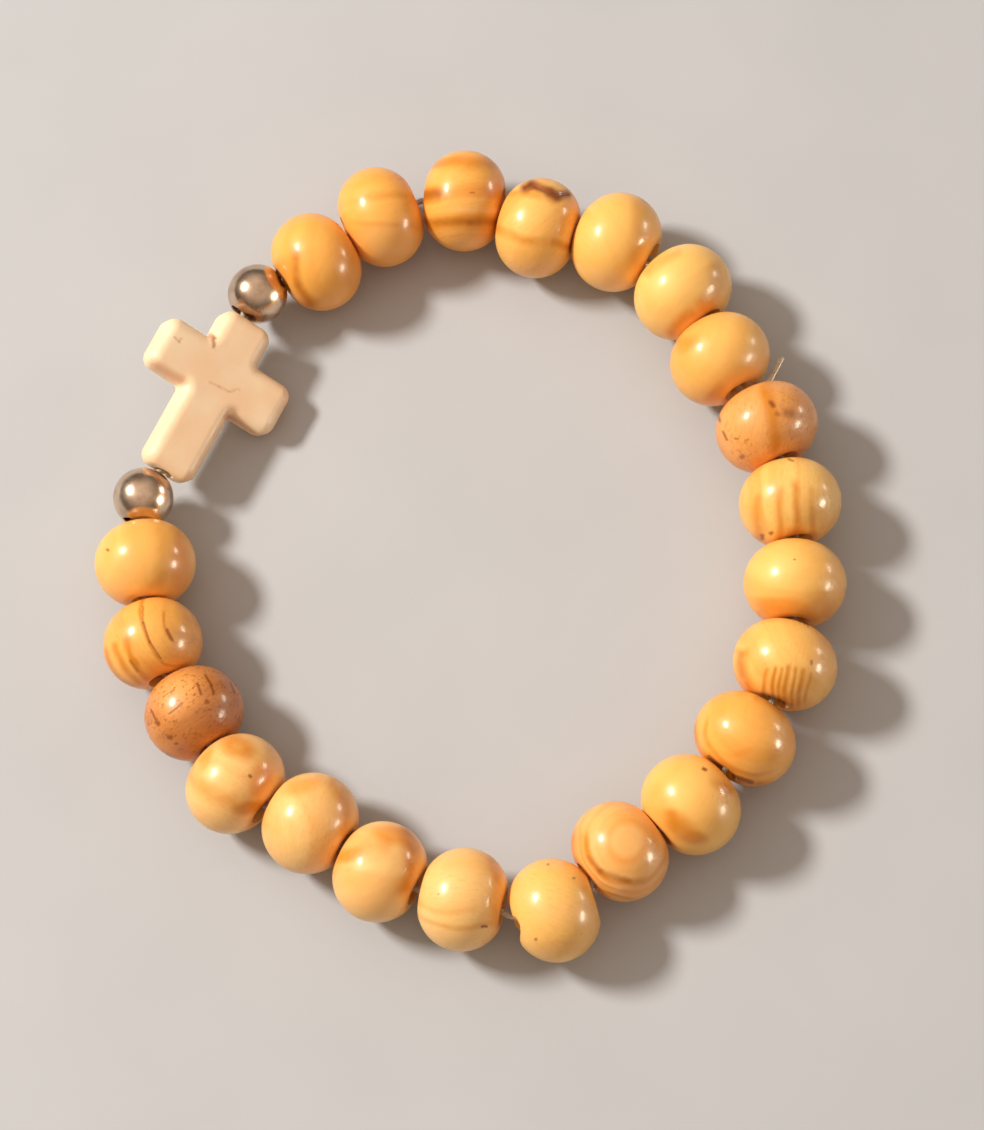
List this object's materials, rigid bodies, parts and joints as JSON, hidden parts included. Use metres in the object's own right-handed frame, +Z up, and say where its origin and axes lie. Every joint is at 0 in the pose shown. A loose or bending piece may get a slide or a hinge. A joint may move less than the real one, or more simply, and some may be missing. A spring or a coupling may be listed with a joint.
{
  "type": "wooden bead bracelet",
  "caption": "Stretch bracelet of turned, varnished wooden beads on clear elastic cord, with a small cream stone cross between metal balls.",
  "frame": {"origin": "middle of the loop's outline, on the surface that the bracelet lies on", "axes": "+Z up out of the surface, along the way a hand goes through; +Y along the loop's longer way; the cross is on the -X side"},
  "size_m": [0.0735, 0.0836, 0.0103],
  "materials": {
    "varnished_wood": "yellow-orange turned wood with visible grain under a glossy clear varnish",
    "silver_metal": "polished silver-coloured metal",
    "cream_stone": "satin cream-white stone with fine brown veins",
    "clear_elastic": "milky clear elastic"
  },
  "bodies": {
    "root": {"wood_bead_01": "varnished_wood", "wood_bead_02": "varnished_wood", "wood_bead_03": "varnished_wood", "wood_bead_04": "varnished_wood", "wood_bead_05": "varnished_wood", "wood_bead_06": "varnished_wood", "wood_bead_07": "varnished_wood", "wood_bead_08": "varnished_wood", "wood_bead_09": "varnished_wood", "wood_bead_10": "varnished_wood", "wood_bead_11": "varnished_wood", "wood_bead_12": "varnished_wood", "wood_bead_13": "varnished_wood", "wood_bead_14": "varnished_wood", "wood_bead_15": "varnished_wood", "wood_bead_16": "varnished_wood", "wood_bead_17": "varnished_wood", "wood_bead_18": "varnished_wood", "wood_bead_19": "varnished_wood", "wood_bead_20": "varnished_wood", "wood_bead_21": "varnished_wood", "wood_bead_22": "varnished_wood", "metal_ball_upper": "silver_metal", "metal_ball_lower": "silver_metal", "stone_cross": "cream_stone", "elastic_cord": "clear_elastic", "cord_knot": "clear_elastic"}
  },
  "joints": []
}
